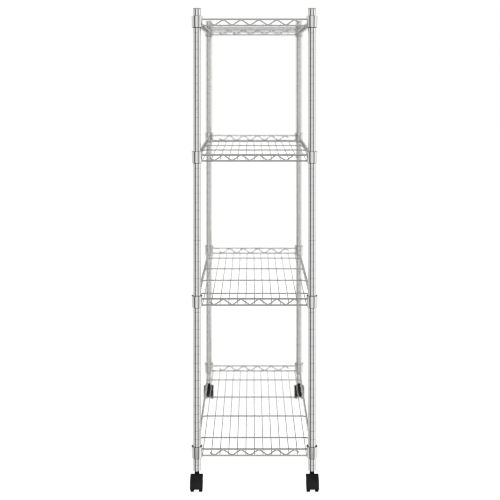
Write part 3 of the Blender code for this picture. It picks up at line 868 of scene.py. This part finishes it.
def wheel_shape(side):
    """A solid moulded wheel about X: a domed outer face with a hub boss and a ring
    groove, a flat tread with rounded shoulders, and a recessed inner face."""
    profile = [(0.0, 17.0), (3.6, 16.97), (4.9, 16.85), (5.5, 16.3), (6.2, 16.2), (9.6, 16.3), (13.2, 16.45), (13.8, 16.35)]
    profile += [(14.1, 15.85), (15.1, 15.85), (15.4, 16.4), (16.6, 16.55), (19.6, 16.7), (20.6, 16.62), (21.3, 16.4), (21.75, 16.0), (22.0, 15.4)]
    profile += [(22.0, 8.4), (21.8, 7.9), (21.2, 7.5), (19.2, 7.5), (18.8, 7.8), (18.5, 9.2)]
    profile += [(6.2, 9.2), (5.8, 7.8), (5.4, 7.5), (3.2, 7.5), (2.85, 7.8), (2.85, 15.0), (0.0, 15.0)]
    profile = [(r * MM, x * MM) for r, x in profile]
    shape = lathe(profile, 72, crease=40)
    return shape.moved(Matrix.Rotation(math.pi / 2 * side, 4, "Y"))


wheels = {
    "right": finished("wheel_moulded_right", wheel_shape(1)),
    "left": finished("wheel_moulded_left", wheel_shape(-1)),
}
for corner in CORNERS:
    x, y = AXIS[corner]
    put(f"caster_{corner}_threaded_stem", stem, ZINC, (x, y, 0.0), "posts", "zinc_steel", f"caster_{corner}_stem")
    put(f"caster_{corner}_moulded_hood", hood, HOOD_BLACK, (x, y, 0.0), f"swivel_{corner}", "hood_plastic", f"caster_{corner}_hood")
    put(f"caster_{corner}_steel_axle", axle, ZINC, middle(f"caster_{corner}_axle"), f"swivel_{corner}", "zinc_steel", f"caster_{corner}_axle")
    for side in ("left", "right"):
        put(
            f"caster_{corner}_{side}_wheel",
            wheels[side],
            WHEEL_BLACK,
            middle(f"caster_{corner}_axle"),
            f"{side}_wheel_{corner}",
            "wheel_plastic",
            f"caster_{corner}_wheel_{side}",
        )


# ================================================================= studio
scene = bpy.context.scene
scene.view_settings.view_transform = "Standard"
scene.view_settings.look = "None"
scene.view_settings.exposure = 0.0
scene.view_settings.gamma = 1.0
scene.cycles.filter_width = 1.15

# ---------------------------------------------------------------- camera
cam_data = bpy.data.cameras.new("camera")
cam = bpy.data.objects.new("camera", cam_data)
scene.collection.objects.link(cam)
scene.camera = cam
CAMERA_X, CAMERA_Y, CAMERA_Z = -0.007, AXIS["front_left"].y - 2.608, 1.1987
cam.location = (CAMERA_X, CAMERA_Y, CAMERA_Z)
cam.rotation_mode = "QUATERNION"
cam.rotation_quaternion = Vector((0, 1, 0)).to_track_quat("-Z", "Y")
cam_data.sensor_width = 36.0
cam_data.lens = 65.95
cam_data.clip_start, cam_data.clip_end = 0.05, 60.0
cam_data.dof.use_dof = True
cam_data.dof.focus_distance = 2.60


def driven(owner, path, expression, index=-1, **variables):
    """A driver with a simple expression of the camera's place."""
    curve = owner.driver_add(path, index) if index >= 0 else owner.driver_add(path)
    driver = curve.driver
    driver.type = "SCRIPTED"
    for name, data_path in variables.items():
        variable = driver.variables.new()
        variable.name = name
        variable.type = "SINGLE_PROP"
        variable.targets[0].id = cam
        variable.targets[0].data_path = data_path
    driver.expression = expression


# The lens is shifted only where the camera stands for the main view.
at_main = f"abs(cy - ({CAMERA_Y:.5f})) < 0.001 and abs(cz - {CAMERA_Z:.5f}) < 0.001"
driven(cam_data, "shift_x", f"-0.004 if {at_main} else 0.0", cy="location[1]", cz="location[2]")
driven(cam_data, "shift_y", f"-0.3654 if {at_main} else 0.0", cy="location[1]", cz="location[2]")
# It is focused on the near posts, and the far ones are a little soft.
driven(cam_data, "dof.aperture_fstop", f"2.6 if {at_main} else 900.0", cy="location[1]", cz="location[2]")

# ---------------------------------------------------------------- what the chrome reflects
world = bpy.data.worlds.new("studio")
scene.world = world
world.use_nodes = True
w = Nodes(world.node_tree)


def linear(tone):
    c = tone / 255.0
    return c / 12.92 if c <= 0.04045 else ((c + 0.055) / 1.055) ** 2.4


# Softboxes and black flags round the rack, by angle from the camera (degrees, tone).
AROUND = (
    (-180, 215), (-150, 240), (-120, 187), (-100, 223), (-85, 210), (-72, 181), (-62, 132), (-55, 130),
    (-49, 62), (-43, 112), (-37, 85), (-31, 170), (-25, 213), (-18, 190), (-10, 232), (0, 220),
    (10, 236), (18, 162), (25, 184), (31, 200), (37, 132), (43, 88), (49, 46), (55, 200),
    (62, 245), (72, 218), (85, 242), (100, 250), (120, 195), (150, 212), (180, 215),
)
CHROME_ALBEDO = 0.88
direction = w.new("ShaderNodeTexCoord").outputs["Generated"]
parts = w.new("ShaderNodeSeparateXYZ")
w.put(parts, Vector=direction)
azimuth = w.maths("ARCTAN2", parts.outputs[0], w.maths("MULTIPLY", parts.outputs[1], -1.0))
turned_with_camera = w.new("ShaderNodeValue")
turned_with_camera.name = "camera_azimuth"
relative = w.maths("WRAP", w.maths("SUBTRACT", azimuth, turned_with_camera.outputs[0]), math.pi, -math.pi)
ramp = w.new("ShaderNodeValToRGB")
ramp.color_ramp.interpolation = "LINEAR"
stops = ramp.color_ramp.elements
while len(stops) > 1:
    stops.remove(stops[-1])
for number, (angle, tone) in enumerate(AROUND):
    stop = stops[0] if number == 0 else stops.new((angle + 180) / 360)
    stop.position = (angle + 180) / 360
    value = linear(tone) / CHROME_ALBEDO
    warm = 0.5 * max(0.0, (150 - tone) / 150)
    stop.color = (value * (1 + 0.04 * warm), value, value * (1 - 0.16 * warm), 1.0)
w.put(ramp, i0=w.span(relative, -math.pi, math.pi, 0.0, 1.0))
elevation = w.maths("MULTIPLY", w.maths("ARCSINE", parts.outputs[2]), 180 / math.pi)
flat = w.span(w.maths("ABSOLUTE", elevation), 25.5, 38.0, 1.0, 0.0, smooth=True)
front = w.span(w.maths("ABSOLUTE", relative), math.radians(32), math.radians(46), 1.0, 0.0, smooth=True)
below = w.span(elevation, -25.2, -24.3, 1.0, 0.0, smooth=True)
dim = w.maths("SUBTRACT", 1.0, w.maths("MULTIPLY", w.maths("MULTIPLY", front, below), 0.48))
# A dark wall stands behind the rack above eye level.
behind = w.span(w.maths("ABSOLUTE", relative), math.radians(112), math.radians(140), 0.0, 1.0, smooth=True)
raised = w.span(elevation, 1.0, 8.5, 0.0, 1.0, smooth=True)
wall = w.maths("MULTIPLY", behind, raised)
around = w.new("ShaderNodeMix", data_type="RGBA", blend_type="MULTIPLY")
w.put(around, i0=1.0, i6=ramp.outputs[0], i7=dim)
near_level = w.mix(wall, around.outputs[2], rgba(0.155, 0.152, 0.146))
# Ceiling and floor are dark for the main view, and grey for a look from elsewhere.
elsewhere = w.new("ShaderNodeValue")
steep = w.mix(elsewhere.outputs[0], rgba(0.068, 0.066, 0.062), rgba(0.27, 0.268, 0.26))
reflected = w.mix(flat, steep, near_level)
path = w.new("ShaderNodeLightPath")
plain = w.maths("MAXIMUM", path.outputs["Is Camera Ray"], path.outputs["Is Diffuse Ray"])
background = w.new("ShaderNodeBackground")
w.put(background, Color=w.mix(plain, reflected, rgba(1.0, 1.0, 1.0)), Strength=1.0)
out = w.new("ShaderNodeOutputWorld")
w.tree.links.new(background.outputs[0], out.inputs[0])
driven(elsewhere.outputs[0], "default_value", f"0.0 if {at_main} else 1.0", cy="location[1]", cz="location[2]")
# The lights stand round the camera, so they turn with it when another side is viewed.
driven(
    turned_with_camera.outputs[0],
    "default_value",
    f"atan2(cx - ({CAMERA_X:.5f}) * (cy < -2.0), -cy)",
    cx="location[0]",
    cy="location[1]",
)

# ---------------------------------------------------------------- floor
mesh = bpy.data.meshes.new("studio_floor")
bm = bmesh.new()
bmesh.ops.create_grid(bm, x_segments=8, y_segments=8, size=14.0)
bm.to_mesh(mesh)
bm.free()
floor = bpy.data.objects.new("studio_floor", mesh)
scene.collection.objects.link(floor)
floor.location = (0, 0, -0.0002)
floor.visible_glossy = False
paint = bpy.data.materials.new("pale_floor")
paint.use_nodes = True
f = Nodes(paint.node_tree)
speckle = f.noise(f.new("ShaderNodeTexCoord").outputs["Object"], 260.0, 3.0, 0.6)
cover = f.new("ShaderNodeBsdfDiffuse")
f.put(cover, Color=f.mix(speckle, rgba(0.22, 0.22, 0.22), rgba(0.26, 0.26, 0.26)), Roughness=0.8)
glow = f.new("ShaderNodeEmission")
f.put(glow, Color=rgba(1, 1, 1), Strength=0.90)
both = f.new("ShaderNodeAddShader")
f.tree.links.new(cover.outputs[0], both.inputs[0])
f.tree.links.new(glow.outputs[0], both.inputs[1])
out = f.new("ShaderNodeOutputMaterial")
f.tree.links.new(both.outputs[0], out.inputs[0])
mesh.materials.append(paint)
floor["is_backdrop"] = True

# ---------------------------------------------------------------- soft key light
lamp = bpy.data.lights.new("overhead_softbox", "AREA")
lamp.shape = "RECTANGLE"
lamp.size, lamp.size_y = 3.0, 2.0
lamp.energy = 14.0
key = bpy.data.objects.new("overhead_softbox", lamp)
scene.collection.objects.link(key)
key.location = (0.6, -1.6, 3.2)
key.rotation_mode = "QUATERNION"
key.rotation_quaternion = (Vector((0, 0, 0.5)) - Vector(key.location)).to_track_quat("-Z", "Y")
key.visible_glossy = False

low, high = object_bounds()
